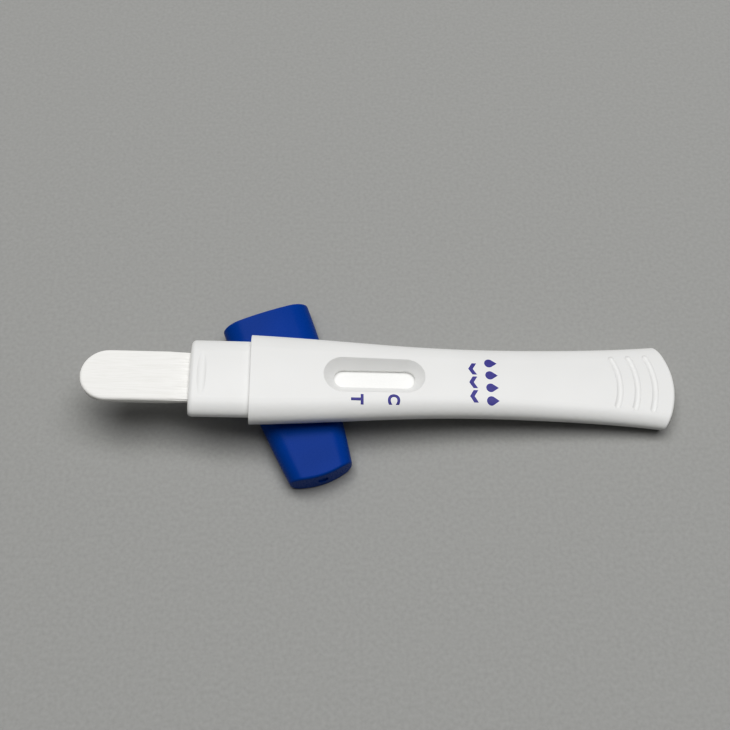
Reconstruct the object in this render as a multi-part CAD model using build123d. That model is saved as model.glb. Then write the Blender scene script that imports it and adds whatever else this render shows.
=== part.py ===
"""Midstream lateral flow test device lying across its own pulled-off cap.

The housing, the wick and the test strip are drawn in the device's own frame: x runs from the
front face of the body towards the tail, y runs across, and z is height above the underside.
The cap is drawn with x running from its mouth to its closed end. Both are then set down on the
table: the cap lies flat, and the device leans on it with its tail on the table.
"""
import math
import os

from build123d import *

# Housing, overall
BODY_LENGTH = 100.0
FRONT_WIDTH = 22.5
WAIST_WIDTH = 17.5
TAIL_WIDTH = 21.5
WAIST_PLACE = 52.0
FRONT_SLOPE = -0.03
TAIL_SLOPE = 0.10
FRONT_HEIGHT = 7.2
TAIL_HEIGHT = 5.8
TAIL_SAGITTA = 3.0
CROWN_RADIUS = 60.0
FRONT_ROUND_WIDTH = 4.6
TAIL_ROUND_WIDTH = 3.2
BOTTOM_ROUND_WIDTH = 2.2
INNER_ROUND_WIDTH = 1.2
TAIL_EDGE_RADIUS = 0.6
FRONT_EDGE_RADIUS = 0.25
WALL = 1.25

# Seam between the two shells
SEAM_HEIGHT = 2.8
SEAM_STEP = 0.35
SEAM_GAP = 0.02

# Nose
NOSE_LENGTH = 13.8
NOSE_LEAD_IN = 1.2
NOSE_LOWER_LEAD_IN = 0.6
NOSE_ROUND_WIDTH = 3.6
NOSE_FRONT_WALL = 1.5
NOSE_FLOOR_WALL = 0.8
DETENT_PLACE = 10.9
DETENT_WIDTH = 2.1
DETENT_DEPTH = 0.28

# Result window
WINDOW_PLACE = 28.8
WINDOW_LENGTH = 19.0
WINDOW_WIDTH = 4.5
BEVEL_WIDTH = 2.3
BEVEL_DEPTH = 2.3
WINDOW_LIP = 0.7
BEZEL_MARGIN = 0.3

# Grip grooves
GROOVE_COUNT = 3
GROOVE_PITCH = 4.25
GROOVE_TAIL_DISTANCE = 4.8
GROOVE_SPAN = 13.8
GROOVE_SPAN_STEP = 0.7
GROOVE_SAGITTA = 1.2
GROOVE_WIDTH = 1.6
GROOVE_DEPTH = 0.34

# Press pins and their sockets, in pairs at these shares of the body's length
PIN_SHARES = (0.07, 0.47, 0.69, 0.89)
PIN_DIAMETER = 1.8
PIN_FIT = 0.06
PIN_WALL_GAP = 0.35
PIN_END_GAP = 0.3
SOCKET_WALL = 0.9

# Wick
WICK_REACH = 24.7
WICK_WIDTH = 12.7
WICK_THICKNESS = 2.2
WICK_EDGE_RADIUS = 0.7
WICK_FIT = 0.08
WICK_INSIDE = 2.0
WICK_RAMP = 1.2
WICK_TONGUE_THICKNESS = 0.9
WICK_GUIDE_HEIGHT = 1.5

# Test strip
STRIP_LENGTH = 59.4
STRIP_WIDTH = 5.6
STRIP_FIT = 0.15
CARD_THICKNESS = 0.3
MEMBRANE_THICKNESS = 0.25
MEMBRANE_GAP = 0.1
SAMPLE_PAD_LENGTH = 6.0
SAMPLE_PAD_THICKNESS = 0.5
CONJUGATE_PAD_THICKNESS = 0.45
SINK_PAD_THICKNESS = 0.9
PAD_LAP = 1.8
LAP_RAMP = 0.4
PAD_GAP = 0.4
PRESS_GAP = 0.05

# Ribs inside the shells
RIB_THICKNESS = 0.9
RAIL_GAP = 0.15
CROSS_RIB_COUNT = 8

# Cap
CAP_LENGTH = 44.8
CAP_MOUTH_WIDTH = 21.7
CAP_WALL = 1.1
CAP_FIT = 0.1
CAP_END_WIDTH = 14.5
CAP_END_HEIGHT = 6.4
CAP_END_ROUND_WIDTH = 3.2
CAP_END_SAGITTA = 1.5
CAP_END_WALL = 1.4
CAP_END_RADIUS = 0.6
BEAD_LENGTH = 7.0
BEAD_HEIGHT = 0.2
GATE_DIAMETER = 2.4
GATE_DEPTH = 0.35

# How the two lie on the table
CAP_HEADING = -71.2
CAP_CROSSING = 9.5
CAP_CROSSING_DEPTH = 21.5
REST_GAP = 0.02

# Shape of the rounded corners: fullness of their curve, and the share of an upright side they take
ROUND_FULLNESS = 0.55
OUTER_ROUND_SHARE = 0.85
INNER_ROUND_SHARE = 0.6

# How far a cutting or joining solid runs past the face that it passes
PAST = 4.0

# What is planed off the lofted undersides, so that they are truly flat
BASE_TRIM = 0.1

# Cross-sections along the body and the cap, and halvings in the search for the tilt
BODY_SECTION_COUNT = 9
CAP_SECTION_COUNT = 5
TILT_STEP_COUNT = 14


def half_width(x: float) -> float:
    """Half of the body's waisted plan width at x: two cubic stretches that meet at the waist."""
    def stretch(x0, w0, s0, x1, w1, s1):
        run = x1 - x0
        t = (x - x0) / run
        return ((2 * t**3 - 3 * t**2 + 1) * w0 + (t**3 - 2 * t**2 + t) * run * s0
                + (3 * t**2 - 2 * t**3) * w1 + (t**3 - t**2) * run * s1)

    if x < WAIST_PLACE:
        return stretch(0, FRONT_WIDTH / 2, FRONT_SLOPE, WAIST_PLACE, WAIST_WIDTH / 2, 0)
    tail_corner = BODY_LENGTH - TAIL_SAGITTA
    return stretch(WAIST_PLACE, WAIST_WIDTH / 2, 0, tail_corner, TAIL_WIDTH / 2, TAIL_SLOPE)


def top_height(x: float) -> float:
    """Height of the body's crown line at x; the body thins towards the tail."""
    return FRONT_HEIGHT + (TAIL_HEIGHT - FRONT_HEIGHT) * x / BODY_LENGTH


def round_width(x: float) -> float:
    """Width of the soft shoulder along the body's top edges at x."""
    return FRONT_ROUND_WIDTH + (TAIL_ROUND_WIDTH - FRONT_ROUND_WIDTH) * x / BODY_LENGTH


def crown_drop(y: float, radius: float = CROWN_RADIUS) -> float:
    """How far a crowned top lies below its crown line at the distance y from it."""
    return radius - math.sqrt(radius**2 - y**2)


def groove_radius(width: float, depth: float) -> float:
    """Radius of a round tool that leaves a groove of this width and depth in a flat face."""
    return ((width / 2)**2 + depth**2) / (2 * depth)


# Places that follow from the sizes above
NOSE_STEP = CAP_WALL + CAP_FIT
NOSE_WIDTH = CAP_MOUTH_WIDTH - 2 * NOSE_STEP
NOSE_TOP = FRONT_HEIGHT - NOSE_STEP
NOSE_FLOOR = NOSE_STEP + NOSE_FLOOR_WALL
INNER_INSET = SEAM_STEP + WALL
WICK_TIP = -(NOSE_LENGTH + WICK_REACH)
WICK_BOTTOM = NOSE_FLOOR + WICK_FIT
WICK_TOP = WICK_BOTTOM + WICK_THICKNESS
LIP_TOP = top_height(WINDOW_PLACE) - BEVEL_DEPTH
BEZEL_BOTTOM = LIP_TOP - WINDOW_LIP
MEMBRANE_TOP = BEZEL_BOTTOM - MEMBRANE_GAP
CARD_TOP = MEMBRANE_TOP - MEMBRANE_THICKNESS
CARD_BOTTOM = CARD_TOP - CARD_THICKNESS
RAIL_TOP = BEZEL_BOTTOM - RAIL_GAP
BEZEL_LENGTH = WINDOW_LENGTH + 2 * (BEVEL_WIDTH + BEZEL_MARGIN)
BEZEL_WIDTH = WINDOW_WIDTH + 2 * (BEVEL_WIDTH + BEZEL_MARGIN)
STRIP_START = WICK_INSIDE + WICK_RAMP + PAD_GAP
STRIP_END = STRIP_START + STRIP_LENGTH
CONJUGATE_START = STRIP_START + SAMPLE_PAD_LENGTH - PAD_LAP
CONJUGATE_END = WINDOW_PLACE - BEZEL_LENGTH / 2 - PAD_GAP
MEMBRANE_START = CONJUGATE_END - PAD_LAP
SINK_START = WINDOW_PLACE + BEZEL_LENGTH / 2 + PAD_GAP
MEMBRANE_END = SINK_START + PAD_LAP
TONGUE_BOTTOM = CARD_TOP + SAMPLE_PAD_THICKNESS
TONGUE_TOP = TONGUE_BOTTOM + WICK_TONGUE_THICKNESS
TONGUE_END = CONJUGATE_START - LAP_RAMP - PAD_GAP


def corner(start, knee, end) -> Edge:
    """A soft rounded corner from start to end, tangent to the two lines that meet at knee."""
    near = Vector(*start) + (Vector(*knee) - Vector(*start)) * ROUND_FULLNESS
    far = Vector(*end) + (Vector(*knee) - Vector(*end)) * ROUND_FULLNESS
    return Bezier(start, near, far, end)


def crowned_section(x, half, bottom, top, crown, round_width, share, foot_round=(0, 0)) -> Face:
    """A cross-section at x with upright sides, a crowned top and rounded top corners.

    The top corners are round_width wide and take this share of the side's height. foot_round is
    the width and height of the bottom corners, which are sharp where it is nothing.
    """
    foot_width, foot_height = foot_round
    foot = bottom + foot_height
    inner = half - round_width
    shoulder = top - crown_drop(inner, crown)
    knee = shoulder - round_width * inner / math.sqrt(crown**2 - inner**2)
    head = knee - share * (knee - foot)
    edges = [Line((x, foot_width - half, bottom), (x, half - foot_width, bottom))]
    if foot_width:
        edges.append(corner((x, half - foot_width, bottom), (x, half, bottom), (x, half, foot)))
    edges += [
        Line((x, half, foot), (x, half, head)),
        corner((x, half, head), (x, half, knee), (x, inner, shoulder)),
        ThreePointArc((x, inner, shoulder), (x, 0, top), (x, -inner, shoulder)),
        corner((x, -inner, shoulder), (x, -half, knee), (x, -half, head)),
        Line((x, -half, head), (x, -half, foot)),
    ]
    if foot_width:
        edges.append(corner((x, -half, foot), (x, -half, bottom), (x, foot_width - half, bottom)))
    return Face(Wire(edges))


def tray_section(x, half, bottom, top, round_width, share) -> Face:
    """A cross-section at x with a flat top and bottom and rounded bottom corners."""
    foot = bottom + share * (top - bottom)
    edges = [
        Line((x, round_width - half, bottom), (x, half - round_width, bottom)),
        corner((x, half - round_width, bottom), (x, half, bottom), (x, half, foot)),
        Line((x, half, foot), (x, half, top)),
        Line((x, half, top), (x, -half, top)),
        Line((x, -half, top), (x, -half, foot)),
        corner((x, -half, foot), (x, -half, bottom), (x, round_width - half, bottom)),
    ]
    return Face(Wire(edges))


def stations(start: float, end: float, count: int) -> list:
    """Evenly spaced places from start to end, both included."""
    return [start + (end - start) * i / (count - 1) for i in range(count)]


def block(x0, x1, y0, y1, z0, z1) -> Part:
    """A box between two opposite corners."""
    return Pos((x0 + x1) / 2, (y0 + y1) / 2, (z0 + z1) / 2) * Box(x1 - x0, y1 - y0, z1 - z0)


def upright(x, y, z0, z1, diameter) -> Part:
    """An upright round post."""
    return Pos(x, y, (z0 + z1) / 2) * Cylinder(diameter / 2, z1 - z0)


def arc_limit(length: float, width: float, sagitta: float, inset: float) -> Part:
    """Everything in front of an arc-shaped end that is this wide and bowed, moved in by inset."""
    radius = ((width / 2)**2 + sagitta**2) / (2 * sagitta)
    centre = length - radius
    reach = radius - inset
    plan = make_face([
        Line((-PAST, -reach), (centre, -reach)),
        ThreePointArc((centre, -reach), (centre + reach, 0), (centre, reach)),
        Line((centre, reach), (-PAST, reach)),
        Line((-PAST, reach), (-PAST, -reach)),
    ])
    return Pos(0, 0, -PAST) * extrude(plan, FRONT_HEIGHT + 2 * PAST)


def tail_limit(inset: float) -> Part:
    """Everything in front of the body's tail, moved in by inset."""
    return arc_limit(BODY_LENGTH, TAIL_WIDTH, TAIL_SAGITTA, inset)


def planed(shape) -> Part:
    """The shape with its underside cut flat at the height zero."""
    box = shape.bounding_box()
    return shape - block(box.min.X - PAST, box.max.X + PAST, box.min.Y - PAST, box.max.Y + PAST, -PAST, 0)


def soften_end(shape, place: float, radius: float, level: float) -> Part:
    """Round the outer edges of the end face that lies nearest to place, apart from those at level."""
    face = sorted(shape.faces(), key=lambda f: abs(f.center().X - place))[0]
    edges = [e for e in face.edges() if abs(e.center().Z - level) > radius / 2]
    return fillet(edges, radius)


def upper_body() -> Part:
    """Outside of the upper shell behind the nose, filled."""
    faces = [
        crowned_section(x, half_width(x), SEAM_HEIGHT, top_height(x), CROWN_RADIUS,
                        round_width(x), OUTER_ROUND_SHARE)
        for x in stations(0, BODY_LENGTH + PAST, BODY_SECTION_COUNT)
    ]
    body = loft(faces) & tail_limit(0)
    body = soften_end(body, BODY_LENGTH, TAIL_EDGE_RADIUS, SEAM_HEIGHT)
    return soften_end(body, 0, FRONT_EDGE_RADIUS, SEAM_HEIGHT)


def lower_body() -> Part:
    """Outside of the lower shell behind the nose, filled and tucked in below the seam."""
    top = SEAM_HEIGHT - SEAM_GAP
    faces = [
        tray_section(x, half_width(x) - SEAM_STEP, -BASE_TRIM, top, BOTTOM_ROUND_WIDTH, OUTER_ROUND_SHARE)
        for x in stations(0, BODY_LENGTH + PAST, BODY_SECTION_COUNT)
    ]
    body = planed(loft(faces)) & tail_limit(SEAM_STEP)
    return soften_end(body, BODY_LENGTH, TAIL_EDGE_RADIUS, top)


def upper_nose() -> Part:
    """Outside of the upper half of the nose, filled, with a rounded lead-in."""
    face = crowned_section(-NOSE_LENGTH, NOSE_WIDTH / 2, SEAM_HEIGHT, NOSE_TOP,
                           CROWN_RADIUS - NOSE_STEP, NOSE_ROUND_WIDTH, OUTER_ROUND_SHARE)
    nose = extrude(face, NOSE_LENGTH + WALL, dir=(1, 0, 0))
    return soften_end(nose, -NOSE_LENGTH, NOSE_LEAD_IN, SEAM_HEIGHT)


def lower_nose() -> Part:
    """Outside of the lower half of the nose, filled."""
    top = SEAM_HEIGHT - SEAM_GAP
    face = tray_section(-NOSE_LENGTH, NOSE_WIDTH / 2 - SEAM_STEP, NOSE_STEP, top,
                        INNER_ROUND_WIDTH, OUTER_ROUND_SHARE)
    nose = extrude(face, NOSE_LENGTH + WALL, dir=(1, 0, 0))
    return soften_end(nose, -NOSE_LENGTH, NOSE_LOWER_LEAD_IN, top)


def hollow() -> Part:
    """The space inside the two shells, with the way out for the wick."""
    foot = (INNER_ROUND_WIDTH, WALL / 2)
    faces = [
        crowned_section(x, half_width(x) - INNER_INSET, WALL, top_height(x) - WALL,
                        CROWN_RADIUS - WALL, round_width(x) - WALL, INNER_ROUND_SHARE, foot)
        for x in stations(WALL, BODY_LENGTH + PAST, BODY_SECTION_COUNT)
    ]
    room = loft(faces) & tail_limit(INNER_INSET)
    nose_face = crowned_section(NOSE_FRONT_WALL - NOSE_LENGTH, NOSE_WIDTH / 2 - INNER_INSET, NOSE_FLOOR,
                                NOSE_TOP - WALL, CROWN_RADIUS - NOSE_STEP - WALL, INNER_ROUND_WIDTH,
                                INNER_ROUND_SHARE)
    nose_room = extrude(nose_face, NOSE_LENGTH - NOSE_FRONT_WALL + 2 * WALL, dir=(1, 0, 0))
    side = WICK_WIDTH / 2 + WICK_FIT
    slot = block(-NOSE_LENGTH - PAST, WICK_INSIDE + WICK_RAMP, -side, side,
                 WICK_BOTTOM - WICK_FIT, WICK_TOP + WICK_FIT)
    return room + nose_room + slot


def pin_spots() -> list:
    """Where the press pins stand: in pairs that follow the waisted outline."""
    inset = INNER_INSET + PIN_DIAMETER / 2 + PIN_FIT + PIN_WALL_GAP
    places = [share * BODY_LENGTH for share in PIN_SHARES]
    return [(x, side * (half_width(x) - inset)) for x in places for side in (-1, 1)]


def press_rib(x: float, pad_top: float) -> Part:
    """A rib under the upper shell's ceiling that holds the strip down at x."""
    half = STRIP_WIDTH / 2
    return block(x - RIB_THICKNESS / 2, x + RIB_THICKNESS / 2, -half, half,
                 pad_top + PRESS_GAP, top_height(x) - WALL / 2)


def window_cut() -> Part:
    """The result window: a straight opening below a bevel that flares up through the top."""
    reach = 1 + PAST / BEVEL_DEPTH
    opening = SlotOverall(WINDOW_LENGTH, WINDOW_WIDTH)
    flare = SlotOverall(WINDOW_LENGTH + 2 * BEVEL_WIDTH * reach, WINDOW_WIDTH + 2 * BEVEL_WIDTH * reach)
    bevel = loft([Pos(0, 0, LIP_TOP) * opening, Pos(0, 0, LIP_TOP + BEVEL_DEPTH + PAST) * flare], ruled=True)
    well = Pos(0, 0, BEZEL_BOTTOM - PAST) * extrude(opening, PAST + WINDOW_LIP)
    return Pos(WINDOW_PLACE, 0, 0) * (bevel + well)


def bezel() -> Part:
    """The block under the ceiling that carries the window's bevel down to the membrane."""
    plan = SlotOverall(BEZEL_LENGTH, BEZEL_WIDTH)
    height = LIP_TOP + BEVEL_DEPTH - WALL / 2 - BEZEL_BOTTOM
    return Pos(WINDOW_PLACE, 0, BEZEL_BOTTOM) * extrude(plan, height)


def detent_cut() -> Part:
    """The shallow recess across the nose's crown; the crown gives it its lens shape."""
    radius = groove_radius(DETENT_WIDTH, DETENT_DEPTH)
    bar = Rot(90, 0, 0) * Cylinder(radius, NOSE_WIDTH)
    return Pos(-DETENT_PLACE, 0, NOSE_TOP - DETENT_DEPTH + radius) * bar


def groove_cut(number: int) -> Part:
    """One grip groove with round ends, bowed towards the tail and following the crown."""
    radius = groove_radius(GROOVE_WIDTH, GROOVE_DEPTH)
    lift = radius - GROOVE_DEPTH
    x = BODY_LENGTH - GROOVE_TAIL_DISTANCE - number * GROOVE_PITCH
    side = (GROOVE_SPAN - number * GROOVE_SPAN_STEP) / 2
    end_x = x - GROOVE_SAGITTA
    end_z = top_height(end_x) - crown_drop(side) + lift
    path = ThreePointArc((end_x, -side, end_z), (x, 0, top_height(x) + lift), (end_x, side, end_z))
    start = Plane(origin=path @ 0, z_dir=path % 0)
    ends = [Pos(*(path @ t)) * Sphere(radius) for t in (0, 1)]
    return sweep(start * Circle(radius), path=path) + ends


def upper_shell(space) -> Part:
    """The moulded top half with its window, grooves, pins and pressure ribs."""
    shell = upper_body() + upper_nose() - space + bezel()
    pins = [upright(x, y, WALL + PIN_END_GAP, top_height(x) - crown_drop(y) - WALL / 2, PIN_DIAMETER)
            for x, y in pin_spots()]
    ribs = [
        press_rib((STRIP_START + TONGUE_END) / 2, TONGUE_TOP),
        press_rib((MEMBRANE_START + CONJUGATE_END) / 2, MEMBRANE_TOP + CONJUGATE_PAD_THICKNESS),
        press_rib((SINK_START + MEMBRANE_END) / 2, MEMBRANE_TOP + SINK_PAD_THICKNESS),
        press_rib((MEMBRANE_END + STRIP_END) / 2, CARD_TOP + SINK_PAD_THICKNESS),
    ]
    cuts = [window_cut(), detent_cut()] + [groove_cut(i) for i in range(GROOVE_COUNT)]
    return shell + pins + ribs - cuts


def lower_shell(space) -> Part:
    """The moulded bottom half with pin sockets, wick guides, and the rails and ribs under the strip."""
    filled = lower_body() + lower_nose()
    bore = PIN_DIAMETER + 2 * PIN_FIT
    base = WALL / 2
    rim = SEAM_HEIGHT - SEAM_GAP
    sockets = [upright(x, y, base, rim, bore + 2 * SOCKET_WALL) & filled for x, y in pin_spots()]
    bores = [upright(x, y, WALL, rim + PAST, bore) for x, y in pin_spots()]
    rail = STRIP_WIDTH / 2 + STRIP_FIT
    guide = WICK_WIDTH / 2 + WICK_FIT
    ribs = [
        block(x - RIB_THICKNESS / 2, x + RIB_THICKNESS / 2, -rail, rail, base, CARD_BOTTOM)
        for x in stations(STRIP_START + RIB_THICKNESS, STRIP_END - RIB_THICKNESS, CROSS_RIB_COUNT)
    ]
    stop = STRIP_END + STRIP_FIT
    ribs.append(block(stop, stop + RIB_THICKNESS, -rail, rail, base, RAIL_TOP))
    for side in (-1, 1):
        rail_sides = sorted((side * rail, side * (rail + RIB_THICKNESS)))
        guide_sides = sorted((side * guide, side * (guide + RIB_THICKNESS)))
        ribs.append(block(STRIP_START, stop + RIB_THICKNESS, *rail_sides, base, RAIL_TOP))
        ribs.append(block(NOSE_FRONT_WALL + STRIP_FIT - NOSE_LENGTH, 0, *guide_sides,
                          NOSE_FLOOR - base, NOSE_FLOOR + WICK_GUIDE_HEIGHT))
    return filled - space + sockets + ribs - bores


def across(points, width: float) -> Part:
    """A solid with this side view, given as x and z, and this width across the device."""
    face = make_face(Polyline(*[(x, 0, z) for x, z in points], close=True))
    return extrude(face, width / 2, dir=(0, 1, 0), both=True)


def lapped_pad(flat_end, lap_end, step, thickness) -> Part:
    """A strip pad that lies on the card from flat_end and climbs onto its neighbour up to lap_end."""
    sense = 1 if lap_end > flat_end else -1
    edge = lap_end - sense * PAD_LAP
    ramp = edge - sense * LAP_RAMP
    raised = CARD_TOP + step
    return across([(flat_end, CARD_TOP), (edge, CARD_TOP), (edge, raised), (lap_end, raised),
                   (lap_end, raised + thickness), (edge, raised + thickness), (ramp, CARD_TOP + thickness),
                   (flat_end, CARD_TOP + thickness)], STRIP_WIDTH)


def strip_layer(start, end, bottom, thickness) -> Part:
    """A flat layer of the strip."""
    half = STRIP_WIDTH / 2
    return block(start, end, -half, half, bottom, bottom + thickness)


def wick() -> Part:
    """The absorbent tip: a round-ended slab whose inner end is pressed into a thin tongue."""
    ramp_end = WICK_INSIDE + WICK_RAMP
    profile = across([(WICK_TIP, WICK_BOTTOM), (WICK_INSIDE, WICK_BOTTOM), (ramp_end, TONGUE_BOTTOM),
                      (TONGUE_END, TONGUE_BOTTOM), (TONGUE_END, TONGUE_TOP), (ramp_end, TONGUE_TOP),
                      (WICK_INSIDE, WICK_TOP), (WICK_TIP, WICK_TOP)], WICK_WIDTH)
    half = WICK_WIDTH / 2
    centre = WICK_TIP + half
    plan = make_face([
        Line((TONGUE_END, half), (centre, half)),
        ThreePointArc((centre, half), (WICK_TIP, 0), (centre, -half)),
        Line((centre, -half), (TONGUE_END, -half)),
        Line((TONGUE_END, -half), (TONGUE_END, half)),
    ])
    slab = profile & (Pos(0, 0, WICK_BOTTOM - PAST) * extrude(plan, WICK_THICKNESS + 2 * PAST))
    rims = [e for e in slab.edges() if e.center().X < WICK_INSIDE - PAST and abs((e % 0.5).Z) < 0.1]
    return fillet(rims, WICK_EDGE_RADIUS)


def cap_section(x, inset, bottom, share, foot) -> Face:
    """A cross-section of the cap at x, inset from its outside, above bottom."""
    bow = (x / CAP_LENGTH)**2
    half = (CAP_MOUTH_WIDTH + (CAP_END_WIDTH - CAP_MOUTH_WIDTH) * bow) / 2
    top = FRONT_HEIGHT + (CAP_END_HEIGHT - FRONT_HEIGHT) * bow
    shoulder = FRONT_ROUND_WIDTH + (CAP_END_ROUND_WIDTH - FRONT_ROUND_WIDTH) * bow
    return crowned_section(x, half - inset, bottom, top - inset, CROWN_RADIUS - inset, shoulder - inset,
                           share, foot)


def cap_limit(inset: float) -> Part:
    """Everything in front of the cap's closed end, moved in by inset."""
    return arc_limit(CAP_LENGTH, CAP_END_WIDTH, CAP_END_SAGITTA, inset)


def cap_outside() -> Part:
    """Outside of the cap, filled: level with the body at its mouth and barrelled to its closed end."""
    foot = (BOTTOM_ROUND_WIDTH, SEAM_HEIGHT * OUTER_ROUND_SHARE)
    faces = [cap_section(x, 0, -BASE_TRIM, OUTER_ROUND_SHARE, foot)
             for x in stations(0, CAP_LENGTH + CAP_END_WALL, CAP_SECTION_COUNT)]
    return soften_end(planed(loft(faces)) & cap_limit(0), CAP_LENGTH, CAP_END_RADIUS, -PAST)


def cap_hollow() -> Part:
    """Inside of the cap: a straight mouth that fits the nose, then a room that follows the outside."""
    foot = (INNER_ROUND_WIDTH, WALL)
    faces = [cap_section(x, CAP_WALL, CAP_WALL, INNER_ROUND_SHARE, foot)
             for x in stations(0, CAP_LENGTH, CAP_SECTION_COUNT)]
    mouth = extrude(faces[0], NOSE_LENGTH + CAP_FIT, dir=(1, 0, 0))
    return (loft(faces) & cap_limit(CAP_END_WALL)) + mouth + extrude(faces[0], PAST, dir=(-1, 0, 0))


def cap() -> Part:
    """The cap with its hollow, the bead that clicks into the nose's recess, and the gate mark."""
    ceiling = FRONT_HEIGHT - CAP_WALL
    radius = groove_radius(DETENT_WIDTH, BEAD_HEIGHT)
    bar = Rot(90, 0, 0) * Cylinder(radius, BEAD_LENGTH)
    half = BEAD_LENGTH / 2
    bead = (Pos(DETENT_PLACE, 0, ceiling - BEAD_HEIGHT + radius) * bar) & block(
        0, NOSE_LENGTH, -half, half, 0, ceiling + CAP_WALL / 2)
    gate = Rot(0, 90, 0) * Cylinder(GATE_DIAMETER / 2, 2 * GATE_DEPTH)
    return cap_outside() - cap_hollow() + bead - Pos(CAP_LENGTH, 0, CAP_END_HEIGHT / 2) * gate


def set_down(angle: float, shape) -> Location:
    """Where the device lies when it is tipped by angle and its lowest point is on the table."""
    tipped = Rot(0, angle, 0)
    return Pos(0, 0, -(tipped * shape).bounding_box().min.Z) * tipped


def resting_place(device_body, cap_body) -> Location:
    """The least tilt, found by halving, at which the device clears the cap that it leans on."""
    low = 0.0
    high = math.degrees(math.atan2(2 * FRONT_HEIGHT, BODY_LENGTH / 2))
    for _ in range(TILT_STEP_COUNT):
        angle = (low + high) / 2
        if (set_down(angle, device_body) * device_body).distance_to(cap_body) > REST_GAP:
            high = angle
        else:
            low = angle
    return set_down(high, device_body)


def main() -> None:
    """Build every piece, set the device down on its cap, and write one file for each piece."""
    space = hollow()
    device = {
        "upper_shell": upper_shell(space),
        "lower_shell": lower_shell(space),
        "wick": wick(),
        "backing_card": strip_layer(STRIP_START, STRIP_END, CARD_BOTTOM, CARD_THICKNESS),
        "membrane": strip_layer(MEMBRANE_START, MEMBRANE_END, CARD_TOP, MEMBRANE_THICKNESS),
        "sample_pad": lapped_pad(STRIP_START, STRIP_START + SAMPLE_PAD_LENGTH, CONJUGATE_PAD_THICKNESS,
                                 SAMPLE_PAD_THICKNESS),
        "conjugate_pad": lapped_pad(CONJUGATE_START, CONJUGATE_END, MEMBRANE_THICKNESS,
                                    CONJUGATE_PAD_THICKNESS),
        "absorbent_pad": lapped_pad(STRIP_END, SINK_START, MEMBRANE_THICKNESS, SINK_PAD_THICKNESS),
    }
    cap_place = Pos(CAP_CROSSING, 0, 0) * Rot(0, 0, CAP_HEADING) * Pos(-CAP_CROSSING_DEPTH, 0, 0)
    device_place = resting_place(lower_body(), cap_place * cap_outside())
    pieces = {name: device_place * shape for name, shape in device.items()}
    pieces["cap"] = cap_place * cap()
    boxes = [shape.bounding_box() for shape in pieces.values()]
    middle_x = (min(b.min.X for b in boxes) + max(b.max.X for b in boxes)) / 2
    middle_y = (min(b.min.Y for b in boxes) + max(b.max.Y for b in boxes)) / 2
    os.makedirs("parts", exist_ok=True)
    for name, shape in pieces.items():
        export_step(Pos(-middle_x, -middle_y, 0) * shape, f"parts/{name}.step")


main()
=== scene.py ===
"""Dressed model of a midstream lateral flow test device that leans on its pulled-off cap.

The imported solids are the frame. The shells, the cap and the strip keep their solids and get
finishes here. The wick is rebuilt with fibre ridges and pleats, and the printed marks are laid
on the upper shell as films of ink.
"""
import logging
import math
from collections.abc import Callable, Iterator
from contextlib import contextmanager
from dataclasses import dataclass, replace
from enum import Enum

import bpy
from mathutils import Matrix, Vector


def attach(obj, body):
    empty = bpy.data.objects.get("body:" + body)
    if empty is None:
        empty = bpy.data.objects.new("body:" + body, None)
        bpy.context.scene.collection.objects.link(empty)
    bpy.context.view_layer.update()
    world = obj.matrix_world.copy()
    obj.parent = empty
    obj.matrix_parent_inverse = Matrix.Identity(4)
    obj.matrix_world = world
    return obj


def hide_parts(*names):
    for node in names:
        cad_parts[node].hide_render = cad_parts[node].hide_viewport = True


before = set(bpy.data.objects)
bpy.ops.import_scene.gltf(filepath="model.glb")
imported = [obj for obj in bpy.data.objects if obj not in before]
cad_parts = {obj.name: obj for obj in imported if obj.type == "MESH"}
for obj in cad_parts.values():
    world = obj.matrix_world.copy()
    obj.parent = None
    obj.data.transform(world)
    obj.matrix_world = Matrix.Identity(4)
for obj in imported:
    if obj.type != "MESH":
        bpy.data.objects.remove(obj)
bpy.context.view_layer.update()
MM = 0.001
BODY = "root"
LOG = logging.getLogger("test_device")
# Points of a copied solid that are closer than this are one point.
MERGE = 0.001 * MM
# Most values of a noise lie between these two.
NOISE_LOW, NOISE_HIGH = 0.3, 0.7
# Number of the tone curve that acts on red, green and blue alike.
COMBINED_CURVE = 3


def linear(colour: str) -> tuple[float, float, float, float]:
    """Turn an sRGB hex value into a linear colour.

    Args:
        colour: Hex value such as "#EBEBE8".

    Returns:
        Red, green, blue and alpha.
    """
    parts = [int(colour[i:i + 2], 16) / 255 for i in (1, 3, 5)]
    red, green, blue = (
        c / 12.92 if c <= 0.04045 else ((c + 0.055) / 1.055) ** 2.4 for c in parts)
    return red, green, blue, 1.0


def add_node(tree: bpy.types.NodeTree, kind: str, inputs: dict | None = None,
             **settings: object) -> bpy.types.Node:
    """Add one node with its settings, socket values and links.

    Args:
        tree: Node tree that takes the node.
        kind: Blender's name for the kind of node.
        inputs: For each input name or number, a value or an output socket to link.
        settings: Properties of the node itself.

    Returns:
        The new node.
    """
    node = tree.nodes.new(kind)
    for name, value in settings.items():
        setattr(node, name, value)
    for key, value in (inputs or {}).items():
        if isinstance(value, bpy.types.NodeSocket):
            tree.links.new(value, node.inputs[key])
        else:
            node.inputs[key].default_value = value
    return node


def per_metre(size_mm: float) -> float:
    """Scale of a noise whose features are about size_mm wide, on coordinates in metres."""
    return 1 / (size_mm * MM)


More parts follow.
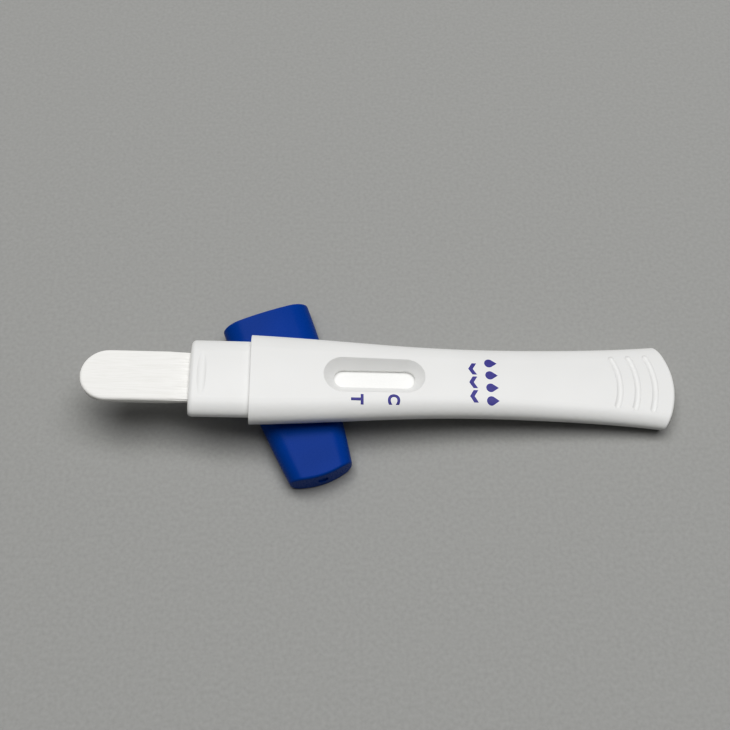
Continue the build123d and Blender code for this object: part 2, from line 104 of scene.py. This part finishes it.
@dataclass(frozen=True)
class Finish:
    """A surface finish: its name, its two near colours and how it takes light.

    At either end of its pattern, the colour stays plain over the share that even gives.
    """

    name: str
    colour: str
    shade: str
    roughness: float
    ior: float
    even: float = 0.25

    def start(self) -> tuple[bpy.types.NodeTree, bpy.types.Node, bpy.types.NodeSocket]:
        """Make an empty material with a shader and coordinates on the object.

        Returns:
            The node tree, the shader and the coordinates' output.
        """
        material = bpy.data.materials.new(self.name)
        material.use_nodes = True
        tree = material.node_tree
        shader = tree.nodes["Principled BSDF"]
        shader.inputs["Roughness"].default_value = self.roughness
        shader.inputs["IOR"].default_value = self.ior
        coordinates = add_node(tree, "ShaderNodeTexCoord")
        return tree, shader, coordinates.outputs["Object"]

    def tint(self, tree: bpy.types.NodeTree, shader: bpy.types.Node,
             amount: bpy.types.NodeSocket) -> None:
        """Let the colour drift between the main colour and its shade.

        Args:
            tree: Node tree of the material.
            shader: Shader that takes the colour.
            amount: Output that is 0 at the main colour and 1 at the shade.
        """
        drift = add_node(tree, "ShaderNodeValToRGB", {"Fac": amount})
        first, last = drift.color_ramp.elements
        first.position, first.color = self.even, linear(self.colour)
        last.position, last.color = 1 - self.even, linear(self.shade)
        tree.links.new(drift.outputs["Color"], shader.inputs["Base Color"])


@dataclass(frozen=True)
class MouldedPlastic(Finish):
    """Injection-moulded plastic: a fine spark-eroded grain over slightly uneven flats."""

    grain_mm: float = 0.35
    grain_depth_mm: float = 0.006
    grain_detail: float = 3.0
    grain_strength: float = 0.6
    sink_mm: float = 11.0
    sink_depth_mm: float = 0.05
    sink_detail: float = 1.0
    sink_strength: float = 0.5
    haze: float = 0.05
    glow: float = 0.0
    glow_mm: float = 1.2
    glow_spread: tuple[float, float, float] = (1.0, 0.95, 0.85)
    specular: float = 0.5

    def build(self) -> bpy.types.Material:
        """Make the material.

        Returns:
            The finished material.
        """
        tree, shader, place = self.start()
        # The real grain is about 0.05 mm. It is drawn coarser so that it shows at all.
        grain = add_node(tree, "ShaderNodeTexNoise", {
            "Vector": place, "Scale": per_metre(self.grain_mm), "Detail": self.grain_detail,
        })
        sink = add_node(tree, "ShaderNodeTexNoise", {
            "Vector": place, "Scale": per_metre(self.sink_mm), "Detail": self.sink_detail,
        })
        self.tint(tree, shader, sink.outputs[0])
        gloss = add_node(tree, "ShaderNodeMapRange", {
            "Value": grain.outputs[0],
            "From Min": NOISE_LOW, "From Max": NOISE_HIGH,
            "To Min": self.roughness - self.haze, "To Max": self.roughness + self.haze,
        })
        tree.links.new(gloss.outputs["Result"], shader.inputs["Roughness"])
        waves = add_node(tree, "ShaderNodeBump", {
            "Height": sink.outputs[0], "Strength": self.sink_strength,
            "Distance": self.sink_depth_mm * MM,
        })
        skin = add_node(tree, "ShaderNodeBump", {
            "Height": grain.outputs[0], "Strength": self.grain_strength,
            "Distance": self.grain_depth_mm * MM, "Normal": waves.outputs["Normal"],
        })
        tree.links.new(skin.outputs["Normal"], shader.inputs["Normal"])
        shader.inputs["Specular IOR Level"].default_value = self.specular
        shader.inputs["Subsurface Weight"].default_value = self.glow
        shader.inputs["Subsurface Radius"].default_value = self.glow_spread
        shader.inputs["Subsurface Scale"].default_value = self.glow_mm * MM
        return bpy.data.materials[self.name]


@dataclass(frozen=True)
class BondedFibre(Finish):
    """Fibres bonded side by side: matt, with stray fibres that cross at small angles."""

    tilt: float = 0.0
    line_mm: float = 0.22
    run_mm: float = 8.0
    line_depth_mm: float = 0.05
    line_detail: float = 3.0
    line_strength: float = 0.8
    stray_angles: tuple[float, ...] = (0.0, 0.06, -0.05)
    sheen: float = 0.15
    sheen_roughness: float = 0.5

    def build(self) -> bpy.types.Material:
        """Make the material.

        Returns:
            The finished material.
        """
        tree, shader, place = self.start()
        level = add_node(tree, "ShaderNodeMapping", {
            "Vector": place, "Rotation": (0.0, -self.tilt, 0.0),
        })
        # A real fibre is about 0.02 mm thick. Bundles are drawn in its place so that they show.
        scale = (per_metre(self.run_mm), per_metre(self.line_mm), per_metre(self.line_mm))
        layers = []
        for angle in self.stray_angles:
            # The shift keeps one layer from repeating another.
            turned = add_node(tree, "ShaderNodeMapping", {
                "Vector": level.outputs[0], "Rotation": (0.0, 0.0, angle),
                "Location": (angle, angle, 0.0),
            })
            drawn = add_node(tree, "ShaderNodeMapping", {
                "Vector": turned.outputs[0], "Scale": scale,
            })
            lines = add_node(tree, "ShaderNodeTexNoise", {
                "Vector": drawn.outputs[0], "Scale": 1.0, "Detail": self.line_detail,
            })
            layers.append(lines.outputs[0])
        felt = layers[0]
        for layer in layers[1:]:
            upper = add_node(tree, "ShaderNodeMath", {0: felt, 1: layer}, operation="MAXIMUM")
            felt = upper.outputs[0]
        self.tint(tree, shader, felt)
        bump = add_node(tree, "ShaderNodeBump", {
            "Height": felt, "Strength": self.line_strength, "Distance": self.line_depth_mm * MM,
        })
        tree.links.new(bump.outputs["Normal"], shader.inputs["Normal"])
        shader.inputs["Sheen Weight"].default_value = self.sheen
        shader.inputs["Sheen Roughness"].default_value = self.sheen_roughness
        return bpy.data.materials[self.name]


@dataclass(frozen=True)
class PorousSheet(Finish):
    """A matt porous sheet, such as a membrane, blotting paper or a coat of ink."""

    pore_mm: float = 0.25
    pore_depth_mm: float = 0.02
    pore_detail: float = 5.0
    pore_strength: float = 0.5

    def build(self) -> bpy.types.Material:
        """Make the material.

        Returns:
            The finished material.
        """
        tree, shader, place = self.start()
        # Real pores are about 0.01 mm. They are drawn coarser so that they show.
        pores = add_node(tree, "ShaderNodeTexNoise", {
            "Vector": place, "Scale": per_metre(self.pore_mm), "Detail": self.pore_detail,
        })
        self.tint(tree, shader, pores.outputs[0])
        bump = add_node(tree, "ShaderNodeBump", {
            "Height": pores.outputs[0], "Strength": self.pore_strength,
            "Distance": self.pore_depth_mm * MM,
        })
        tree.links.new(bump.outputs["Normal"], shader.inputs["Normal"])
        return bpy.data.materials[self.name]


@dataclass(frozen=True)
class TableTop(Finish):
    """A plain matt table with a fine speckle."""

    speckle_mm: float = 0.9
    speckle_detail: float = 2.0

    def build(self) -> bpy.types.Material:
        """Make the material.

        Returns:
            The finished material.
        """
        tree, shader, place = self.start()
        speckle = add_node(tree, "ShaderNodeTexNoise", {
            "Vector": place, "Scale": per_metre(self.speckle_mm), "Detail": self.speckle_detail,
        })
        self.tint(tree, shader, speckle.outputs[0])
        return bpy.data.materials[self.name]


@dataclass(frozen=True)
class DeviceAxes:
    """The device's own frame: x from nose to tail, y across, z up from the underside."""

    origin: Vector
    along: Vector
    across: Vector
    up: Vector

    @classmethod
    def read(cls) -> "DeviceAxes":
        """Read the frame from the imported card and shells.

        Returns:
            The device's frame.
        """
        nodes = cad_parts
        card = [vertex.co.copy() for vertex in nodes["backing_card"].data.vertices]
        card.sort(key=lambda place: place.x)
        half = len(card) // 2
        front = sum(card[:half], Vector()) / half
        back = sum(card[half:], Vector()) / half
        along = (back - front).normalized()
        across = Vector((0.0, 1.0, 0.0))
        up = along.cross(across)
        start = min(vertex.co.dot(along) for vertex in nodes["upper_shell"].data.vertices)
        base = min(vertex.co.dot(up) for vertex in nodes["lower_shell"].data.vertices)
        return cls(along * start + across * front.y + up * base, along, across, up)

    def matrix(self) -> Matrix:
        """Matrix that takes a piece drawn in the device's frame to its place."""
        turn = Matrix((self.along, self.across, self.up)).transposed().to_4x4()
        return Matrix.Translation(self.origin) @ turn

    def tilt(self) -> float:
        """Angle by which the device leans, in radians."""
        return math.atan2(-self.along.z, self.along.x)


def select_only(piece: bpy.types.Object) -> None:
    """Select one object alone and make it active."""
    bpy.ops.object.select_all(action="DESELECT")
    piece.select_set(True)
    bpy.context.view_layer.objects.active = piece


def anywhere(place: Vector) -> bool:
    """Pick every point of a piece."""
    return True


@contextmanager
def edited(piece: bpy.types.Object,
           picked: Callable[[Vector], bool] = anywhere) -> Iterator[None]:
    """Open a piece in edit mode with the picked points selected, and close it after the work.

    Args:
        piece: Mesh to work on.
        picked: Tells whether the point at a place is selected.

    Returns:
        A context in which mesh operators act on the selected points.
    """
    select_only(piece)
    bpy.ops.object.mode_set(mode="EDIT")
    bpy.ops.mesh.select_all(action="DESELECT")
    bpy.ops.object.mode_set(mode="OBJECT")
    for vertex in piece.data.vertices:
        vertex.select = picked(vertex.co)
    bpy.ops.object.mode_set(mode="EDIT")
    yield
    bpy.ops.object.mode_set(mode="OBJECT")


def copy_of(piece: bpy.types.Object, name: str) -> bpy.types.Object:
    """Copy a piece with a mesh of its own.

    Args:
        piece: Piece to copy.
        name: Name of the copy.

    Returns:
        The copy, linked to the scene.
    """
    copy = bpy.data.objects.new(name, piece.data.copy())
    bpy.context.scene.collection.objects.link(copy)
    return copy


def apply_modifiers(piece: bpy.types.Object) -> None:
    """Apply every modifier of a piece in order."""
    select_only(piece)
    for name in [modifier.name for modifier in piece.modifiers]:
        bpy.ops.object.modifier_apply(modifier=name)


def settle(piece: bpy.types.Object) -> None:
    """Put a piece's place into its mesh, so that its object sits at the origin."""
    select_only(piece)
    bpy.ops.object.transform_apply(location=True, rotation=True, scale=True)


def coat(piece: bpy.types.Object, material: bpy.types.Material) -> None:
    """Give a piece one material."""
    piece.data.materials.clear()
    piece.data.materials.append(material)


@dataclass
class Housing:
    """The two white moulded shells."""

    nodes: tuple[str, ...] = ("upper_shell", "lower_shell")
    # High-impact polystyrene from a spark-eroded mould: bright white, satin, a little translucent.
    finish: MouldedPlastic = MouldedPlastic(
        name="white_moulded_polystyrene", colour="#EBEBE9", shade="#E8E8E6",
        roughness=0.42, ior=1.55, glow=0.06,
    )

    def build(self) -> list[bpy.types.Object]:
        """Fetch the shells' solids, which keep their form."""
        return [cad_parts[name] for name in self.nodes]

    def dress(self, pieces: list[bpy.types.Object]) -> None:
        """Finish both shells alike.

        Args:
            pieces: The shells from build.
        """
        material = self.finish.build()
        for piece in pieces:
            coat(piece, material)


@dataclass
class Cap:
    """The blue moulded cap."""

    node: str = "cap"
    # Polypropylene with deep blue pigment: satin, with a soft waxy highlight.
    finish: MouldedPlastic = MouldedPlastic(
        name="blue_moulded_polypropylene", colour="#033E97", shade="#033A8F",
        roughness=0.28, ior=1.49, grain_depth_mm=0.008, specular=0.055,
    )

    def build(self) -> list[bpy.types.Object]:
        """Fetch the cap's solid, which keeps its form."""
        return [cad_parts[self.node]]

    def dress(self, pieces: list[bpy.types.Object]) -> None:
        """Finish the cap.

        Args:
            pieces: The cap from build.
        """
        material = self.finish.build()
        for piece in pieces:
            coat(piece, material)


@dataclass
class TestStrip:
    """The strip inside the housing, of which the window shows the membrane."""

    nodes: tuple[str, ...] = (
        "membrane", "backing_card", "sample_pad", "absorbent_pad", "conjugate_pad")
    # Nitrocellulose cast on film: a very white, matt, even skin.
    membrane: PorousSheet = PorousSheet(
        name="nitrocellulose_membrane", colour="#FBFBF9", shade="#F6F6F3",
        roughness=0.85, ior=1.5, pore_mm=0.3, pore_depth_mm=0.01,
    )
    # Vinyl backing card: white and smooth.
    card: PorousSheet = PorousSheet(
        name="vinyl_backing_card", colour="#F2F2F0", shade="#EEEEEC",
        roughness=0.5, ior=1.53, pore_mm=0.8, pore_depth_mm=0.005,
    )
    # Cotton blotting paper: soft white with a felted surface.
    blotting: PorousSheet = PorousSheet(
        name="cotton_blotting_pad", colour="#F1EFE8", shade="#E4E1D8",
        roughness=0.95, ior=1.5, pore_mm=0.5, pore_depth_mm=0.06,
    )
    # Glass-fibre pad dyed by the dried gold particles on it: dusky red.
    glass_pad: PorousSheet = PorousSheet(
        name="glass_fibre_conjugate_pad", colour="#B4707C", shade="#A25E6C",
        roughness=0.95, ior=1.5, pore_mm=0.4, pore_depth_mm=0.05,
    )

    def build(self) -> list[bpy.types.Object]:
        """Fetch the strip's solids, which keep their form."""
        return [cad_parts[name] for name in self.nodes]

    def dress(self, pieces: list[bpy.types.Object]) -> None:
        """Finish each piece of the strip.

        Args:
            pieces: The strip's pieces from build, in the order of nodes.
        """
        pads = self.blotting.build()
        materials = (
            self.membrane.build(), self.card.build(), pads, pads, self.glass_pad.build())
        for piece, material in zip(pieces, materials, strict=True):
            coat(piece, material)


@dataclass
class Wick:
    """The absorbent tip, with ridges along its fibres and pleats where the nose grips it."""

    axes: DeviceAxes
    voxel_mm: float = 0.16
    noise_depth: int = 2
    ridge_mm: float = 0.75
    ridge_run_mm: float = 14.0
    ridge_height_mm: float = 0.07
    ridge_level: float = 0.5
    pleat_mm: float = 0.34
    pleat_run_mm: float = 9.0
    pleat_depth_mm: float = 0.45
    pleat_level: float = 1.0
    pleat_reach_mm: float = 5.0
    pleat_group: str = "gripped"
    # Bonded polyester fibre: soft white, matt, faintly lined along its length.
    finish: BondedFibre = BondedFibre(
        name="bonded_polyester_fibre", colour="#ECEBE5", shade="#FEFDFA", roughness=0.9, ior=1.5,
    )

    def grip(self, piece: bpy.types.Object) -> None:
        """Weight the wick's points by how near they are to the nose that grips it.

        Args:
            piece: The evenly meshed wick.
        """
        group = piece.vertex_groups.new(name=self.pleat_group)
        to_device = self.axes.matrix().inverted()
        for vertex in piece.data.vertices:
            ahead_mm = -(to_device @ vertex.co).x / MM
            weight = min(max(1 - ahead_mm / self.pleat_reach_mm, 0.0), 1.0)
            group.add([vertex.index], weight, "REPLACE")

    def groove(self, piece: bpy.types.Object, name: str, size_mm: tuple[float, float],
               strength_mm: float, mid_level: float) -> bpy.types.DisplaceModifier:
        """Add a displacement by a noise that is drawn out along the fibres.

        Args:
            piece: The evenly meshed wick.
            name: Name of the modifier and its noise.
            size_mm: Length and width of the noise's features.
            strength_mm: Height from the lowest to the highest point.
            mid_level: Level of the noise that stays in place.

        Returns:
            The new modifier, which is still to be applied.
        """
        run, width = size_mm[0] * MM, size_mm[1] * MM
        guide = bpy.data.objects.new(f"{name}_guide", None)
        bpy.context.scene.collection.objects.link(guide)
        guide.matrix_world = self.axes.matrix() @ Matrix.Diagonal((run, width, width, 1.0))
        noise = bpy.data.textures.new(name, "CLOUDS")
        noise.noise_scale = 1.0
        noise.noise_depth = self.noise_depth
        change = piece.modifiers.new(name, "DISPLACE")
        change.texture = noise
        change.texture_coords = "OBJECT"
        change.texture_coords_object = guide
        change.mid_level = mid_level
        change.strength = strength_mm * MM
        return change

    def build(self) -> list[bpy.types.Object]:
        """Copy the wick's solid, mesh it evenly, raise its fibre ridges and press in its pleats.

        Returns:
            The finished wick alone.
        """
        piece = copy_of(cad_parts["wick"], "fibre_wick")
        with edited(piece):
            bpy.ops.mesh.remove_doubles(threshold=MERGE)
        remesh = piece.modifiers.new("even_mesh", "REMESH")
        remesh.mode = "VOXEL"
        remesh.voxel_size = self.voxel_mm * MM
        apply_modifiers(piece)
        self.grip(piece)
        ridges = self.groove(
            piece, "ridges", (self.ridge_run_mm, self.ridge_mm), self.ridge_height_mm,
            self.ridge_level)
        pleats = self.groove(
            piece, "pleats", (self.pleat_run_mm, self.pleat_mm), self.pleat_depth_mm,
            self.pleat_level)
        pleats.vertex_group = self.pleat_group
        guides = [ridges.texture_coords_object, pleats.texture_coords_object]
        bpy.context.view_layer.update()
        apply_modifiers(piece)
        piece.vertex_groups.clear()
        for guide in guides:
            bpy.data.objects.remove(guide)
        select_only(piece)
        bpy.ops.object.shade_smooth()
        return [piece]

    def dress(self, pieces: list[bpy.types.Object]) -> None:
        """Finish the wick and set it in the place of its solid.

        Args:
            pieces: The wick from build.
        """
        material = replace(self.finish, tilt=self.axes.tilt()).build()
        for piece in pieces:
            coat(piece, material)
            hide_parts("wick")
            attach(piece, BODY)


class Mark(Enum):
    """The two letters beside the window, which every such test carries."""

    TEST = "T"
    CONTROL = "C"


class Icon(Enum):
    """Plain pictures that show where the sample goes."""

    DROP = "drop"
    CHEVRON = "chevron"


@dataclass
class PrintedMarks:
    """Pad-printed marks on the upper shell, each a thin film of ink that follows the surface."""

    axes: DeviceAxes
    letter_height_mm: float = 2.85
    letter_width_mm: float = 2.4
    letter_weight_mm: float = 0.13
    test_place_mm: tuple[float, float] = (38.35, -6.15)
    control_place_mm: tuple[float, float] = (46.75, -6.0)
    icon_mm: float = 3.0
    chevron_row_mm: float = 65.4
    chevron_places_mm: tuple[float, ...] = (2.3, -1.2, -4.7)
    chevron_bar_share: float = 0.36
    chevron_slope: float = 0.62
    drop_row_mm: float = 69.4
    drop_places_mm: tuple[float, ...] = (3.9, 0.7, -2.5, -5.7)
    drop_radius_share: float = 0.36
    drop_point_share: float = 1.75
    drop_sides: int = 48
    # The slices let a mark bend with the shell. Their shift keeps them off the marks' own edges.
    slice_mm: float = 0.3
    slice_shift: float = 0.37
    slice_spare: int = 2
    slice_merge_mm: float = 0.002
    clear_mm: float = 20.0
    film_mm: float = 0.02
    film_offset: float = 0.5
    # Pad-printing ink: dark blue violet, matt, slightly uneven where the pad lifted.
    ink: PorousSheet = PorousSheet(
        name="pad_printing_ink", colour="#2D2683", shade="#372F92",
        roughness=0.5, ior=1.5, pore_mm=0.4, pore_depth_mm=0.004,
    )

    def letter(self, mark: Mark) -> bpy.types.Object:
        """Draw one letter flat, with its top towards the tail.

        Args:
            mark: Which letter.

        Returns:
            The flat letter around the origin.
        """
        bpy.ops.object.select_all(action="DESELECT")
        bpy.ops.object.text_add()
        text = bpy.context.object.data
        text.body = mark.value
        text.size = self.letter_height_mm * MM
        text.offset = self.letter_weight_mm * MM
        bpy.ops.object.convert(target="MESH")
        piece = bpy.context.object
        corners = [Vector(corner) for corner in piece.bound_box]
        low = Vector(map(min, *corners))
        high = Vector(map(max, *corners))
        size = high - low
        wide = self.letter_width_mm * MM / size.x
        tall = self.letter_height_mm * MM / size.y
        fit = Matrix.Diagonal((wide, tall, 1.0, 1.0))
        turn = Matrix.Rotation(-math.pi / 2, 4, "Z")
        piece.data.transform(turn @ fit @ Matrix.Translation(-(low + high) / 2))
        piece.name = f"mark_{mark.name.lower()}"
        return piece

    def drop(self) -> bpy.types.Object:
        """Draw a drop flat, with its point towards the tail.

        Returns:
            The flat drop around the origin.
        """
        radius = self.drop_radius_share * self.icon_mm * MM
        point = self.drop_point_share * radius
        touch = radius ** 2 / point
        bpy.ops.object.select_all(action="DESELECT")
        bpy.ops.mesh.primitive_circle_add(
            vertices=self.drop_sides, radius=radius, fill_type="NGON")
        piece = bpy.context.object
        # The arc beyond the two tangents that meet at the point is drawn together into it.
        with edited(piece, lambda place: place.x > touch):
            bpy.ops.transform.resize(value=(0.0, 0.0, 0.0), center_override=(point, 0.0, 0.0))
            bpy.ops.mesh.remove_doubles(threshold=MERGE)
        return piece

    def chevron(self) -> bpy.types.Object:
        """Draw a chevron flat, pointing at the wick.

        Returns:
            The flat chevron around the origin.
        """
        half = self.icon_mm * MM / 2
        bar = self.chevron_bar_share * self.icon_mm * MM
        lean = self.chevron_slope * half
        bpy.ops.object.select_all(action="DESELECT")
        bpy.ops.mesh.primitive_plane_add(size=bar)
        piece = bpy.context.object
        with edited(piece, lambda place: place.y > 0):
            bpy.ops.transform.translate(value=(lean / 2, half - bar / 2, 0.0))
        with edited(piece, lambda place: place.y < 0):
            bpy.ops.transform.translate(value=(-lean / 2, bar / 2, 0.0))
            bpy.ops.mesh.extrude_region_move(
                TRANSFORM_OT_translate={"value": (lean, -half, 0.0)})
        return piece

    def lay(self, piece: bpy.types.Object, place_mm: tuple[float, float]) -> bpy.types.Object:
        """Slice a flat mark finely, drop it on the shell and give the film its thickness.

        Args:
            piece: The flat mark around the origin.
            place_mm: Its place in the device's frame.

        Returns:
            The finished film of ink.
        """
        reach = int(self.letter_height_mm / self.slice_mm / 2) + self.slice_spare
        with edited(piece):
            for normal in ((1.0, 0.0, 0.0), (0.0, 1.0, 0.0)):
                for step in range(-reach, reach + 1):
                    bpy.ops.mesh.select_all(action="SELECT")
                    at = Vector(normal) * (step + self.slice_shift) * self.slice_mm * MM
                    bpy.ops.mesh.bisect(plane_co=at, plane_no=normal)
            bpy.ops.mesh.select_all(action="SELECT")
            bpy.ops.mesh.remove_doubles(threshold=self.slice_merge_mm * MM)
        along_mm, across_mm = place_mm
        above = Matrix.Translation(Vector((along_mm, across_mm, self.clear_mm)) * MM)
        piece.matrix_world = self.axes.matrix() @ above
        bpy.context.view_layer.update()
        wrap = piece.modifiers.new("on_shell", "SHRINKWRAP")
        wrap.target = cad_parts["upper_shell"]
        wrap.wrap_method = "PROJECT"
        wrap.use_project_z = True
        wrap.use_positive_direction = False
        wrap.use_negative_direction = True
        film = piece.modifiers.new("film", "SOLIDIFY")
        film.thickness = self.film_mm * MM
        film.offset = self.film_offset
        apply_modifiers(piece)
        settle(piece)
        return piece

    def build(self) -> list[bpy.types.Object]:
        """Draw and lay every mark.

        Returns:
            The finished films of ink.
        """
        pieces = [
            self.lay(self.letter(Mark.TEST), self.test_place_mm),
            self.lay(self.letter(Mark.CONTROL), self.control_place_mm),
        ]
        rows = (
            (Icon.CHEVRON, self.chevron(), self.chevron_row_mm, self.chevron_places_mm),
            (Icon.DROP, self.drop(), self.drop_row_mm, self.drop_places_mm),
        )
        for icon, flat, row, places in rows:
            for number, across in enumerate(places, start=1):
                pieces.append(self.lay(copy_of(flat, f"{icon.value}_{number}"), (row, across)))
            bpy.data.objects.remove(flat)
        return pieces

    def dress(self, pieces: list[bpy.types.Object]) -> None:
        """Ink each mark and fix it to the device.

        Args:
            pieces: The films from build.
        """
        material = self.ink.build()
        for piece in pieces:
            coat(piece, material)
            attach(piece, BODY)


@dataclass
class Studio:
    """The table, the lights and the camera."""

    floor_m: float = 6.0
    # Matt laminate: plain pale grey.
    table: TableTop = TableTop(
        name="matt_laminate", colour="#A4A4A2", shade="#9C9C9A", roughness=0.8, ior=1.45,
    )
    key_place: tuple[float, float, float] = (0.08, 0.27, 1.4)
    key_size: tuple[float, float] = (1.8, 1.05)
    key_power: float = 21.9
    dome_low: float = 0.0
    dome_high: float = 0.22
    dome_near: float = 0.4
    dome_far: float = 1.2
    backdrop: str = "#5A5A59"
    tone_points: tuple[tuple[float, float], ...] = (
        (0.09, 0.07), (0.2, 0.165), (0.337, 0.332), (0.56, 0.6), (0.8, 0.825))
    camera_target_mm: tuple[float, float, float] = (-4.0, 8.67, 0.0)
    camera_distance_mm: float = 235.67
    camera_azimuth: float = -0.91
    camera_elevation: float = 62.38
    lens_mm: float = 47.23
    clip_start_m: float = 0.01

    def floor(self) -> None:
        """Lay the table top."""
        bpy.ops.object.select_all(action="DESELECT")
        bpy.ops.mesh.primitive_plane_add(size=self.floor_m)
        floor = bpy.context.object
        floor.name = "table_top"
        coat(floor, self.table.build())

    def key(self) -> None:
        """Hang one large soft light overhead, a little behind."""
        lamp = bpy.data.lights.new("overhead_softbox", "AREA")
        lamp.shape = "RECTANGLE"
        lamp.size, lamp.size_y = self.key_size
        lamp.energy = self.key_power
        holder = bpy.data.objects.new("overhead_softbox", lamp)
        bpy.context.scene.collection.objects.link(holder)
        holder.location = self.key_place
        holder.rotation_euler = (-Vector(self.key_place)).to_track_quat("-Z", "Y").to_euler()

    def dome(self) -> None:
        """Fill in from all round, more from above and behind."""
        world = bpy.data.worlds.new("studio_fill")
        world.use_nodes = True
        tree = world.node_tree
        direction = add_node(tree, "ShaderNodeTexCoord")
        parts = add_node(tree, "ShaderNodeSeparateXYZ", {"Vector": direction.outputs["Generated"]})
        rise = add_node(tree, "ShaderNodeMapRange", {
            "Value": parts.outputs["Z"], "To Min": self.dome_low, "To Max": self.dome_high,
        })
        depth = add_node(tree, "ShaderNodeMapRange", {
            "Value": parts.outputs["Y"], "From Min": -1.0,
            "To Min": self.dome_near, "To Max": self.dome_far,
        })
        level = add_node(tree, "ShaderNodeMath", {
            0: rise.outputs[0], 1: depth.outputs[0],
        }, operation="MULTIPLY")
        background = tree.nodes["Background"]
        background.inputs["Color"].default_value = (1.0, 1.0, 1.0, 1.0)
        tree.links.new(level.outputs[0], background.inputs["Strength"])
        # Low views see a plain backdrop behind the table, which sheds no light of its own.
        backdrop = add_node(tree, "ShaderNodeBackground", {"Color": linear(self.backdrop)})
        ray = add_node(tree, "ShaderNodeLightPath")
        both = add_node(tree, "ShaderNodeMixShader", {
            0: ray.outputs["Is Camera Ray"], 1: background.outputs[0], 2: backdrop.outputs[0],
        })
        tree.links.new(both.outputs[0], tree.nodes["World Output"].inputs["Surface"])
        bpy.context.scene.world = world

    def tone(self) -> None:
        """Give the picture a camera's tone curve: deeper shadows and light greys drawn together."""
        view = bpy.context.scene.view_settings
        view.view_transform = "Standard"
        view.use_curve_mapping = True
        curve = view.curve_mapping.curves[COMBINED_CURVE]
        for place, level in self.tone_points:
            curve.points.new(place, level)
        view.curve_mapping.update()

    def camera(self) -> None:
        """Stand the camera where the photograph was taken from."""
        azimuth = math.radians(self.camera_azimuth)
        elevation = math.radians(self.camera_elevation)
        level = math.cos(elevation)
        back = Vector((
            math.sin(azimuth) * level, -math.cos(azimuth) * level, math.sin(elevation)))
        data = bpy.data.cameras.new("photo_camera")
        data.lens = self.lens_mm
        data.clip_start = self.clip_start_m
        camera = bpy.data.objects.new("photo_camera", data)
        bpy.context.scene.collection.objects.link(camera)
        camera.location = (Vector(self.camera_target_mm) + back * self.camera_distance_mm) * MM
        camera.rotation_euler = (-back).to_track_quat("-Z", "Y").to_euler()
        bpy.context.scene.camera = camera

    def build(self) -> None:
        """Set up the whole studio."""
        self.floor()
        self.key()
        self.dome()
        self.tone()
        self.camera()


def main() -> None:
    """Build and dress each sub-assembly in order, and report each piece."""
    logging.basicConfig(level=logging.INFO, format="%(name)s: %(message)s")
    bpy.ops.object.select_all(action="DESELECT")
    axes = DeviceAxes.read()
    for assembly in (Housing(), Cap(), TestStrip(), Wick(axes), PrintedMarks(axes)):
        pieces = assembly.build()
        assembly.dress(pieces)
        for piece in pieces:
            LOG.info("dressed %s with %d faces", piece.name, len(piece.data.polygons))
    Studio().build()
    LOG.info("set up the studio")


if __name__ == "__main__":
    main()
